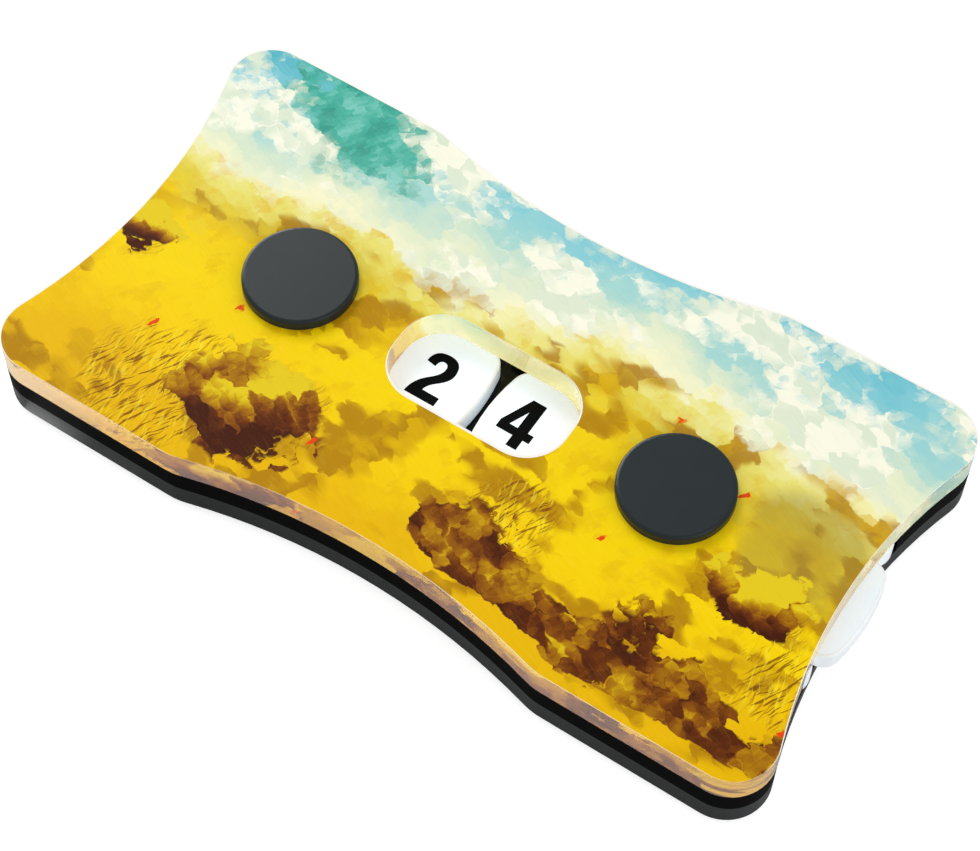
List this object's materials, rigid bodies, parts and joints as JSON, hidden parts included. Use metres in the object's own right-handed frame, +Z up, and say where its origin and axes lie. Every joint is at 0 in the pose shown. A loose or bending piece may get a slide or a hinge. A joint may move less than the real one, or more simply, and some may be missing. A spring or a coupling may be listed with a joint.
{
  "type": "life counter",
  "caption": "Hand-held life counter: two white lobed number dials on axle posts between laser-cut sheets, read through a window in a clear printed cover.",
  "frame": {"origin": "on the surface that the counter rests on, midway between the two dial axles", "axes": "+X along the long axis from the tens dial to the units dial, +Y to the far side where the tops of the numbers point, +Z up out of the printed cover"},
  "size_m": [0.1, 0.0536, 0.0129],
  "materials": {
    "black_acrylic": "gloss sheet, satin cut edge",
    "white_acrylic": "gloss sheet with printed numbers",
    "clear_acrylic": "clear, polished cut edge",
    "printed_ink": "gloss full-colour print",
    "black_nylon": "smooth moulded satin"
  },
  "bodies": {
    "counter": {"base_plate": "black_acrylic", "near_rail": "black_acrylic", "far_rail": "black_acrylic", "clear_cover": "clear_acrylic", "picture_print": "printed_ink", "tens_post": "black_nylon", "units_post": "black_nylon", "tens_screw": "black_nylon", "units_screw": "black_nylon"},
    "tens_wheel": {"tens_dial": "white_acrylic"},
    "units_wheel": {"units_dial": "white_acrylic"}
  },
  "joints": [
    {"name": "tens_spin", "type": "hinge", "parent": "counter", "child": "tens_wheel", "pos_m": [-0.025, 0, 0.0059], "axis": [0, 0, 1], "continuous": true},
    {"name": "units_spin", "type": "hinge", "parent": "counter", "child": "units_wheel", "pos_m": [0.025, 0, 0.0059], "axis": [0, 0, 1], "continuous": true}
  ]
}
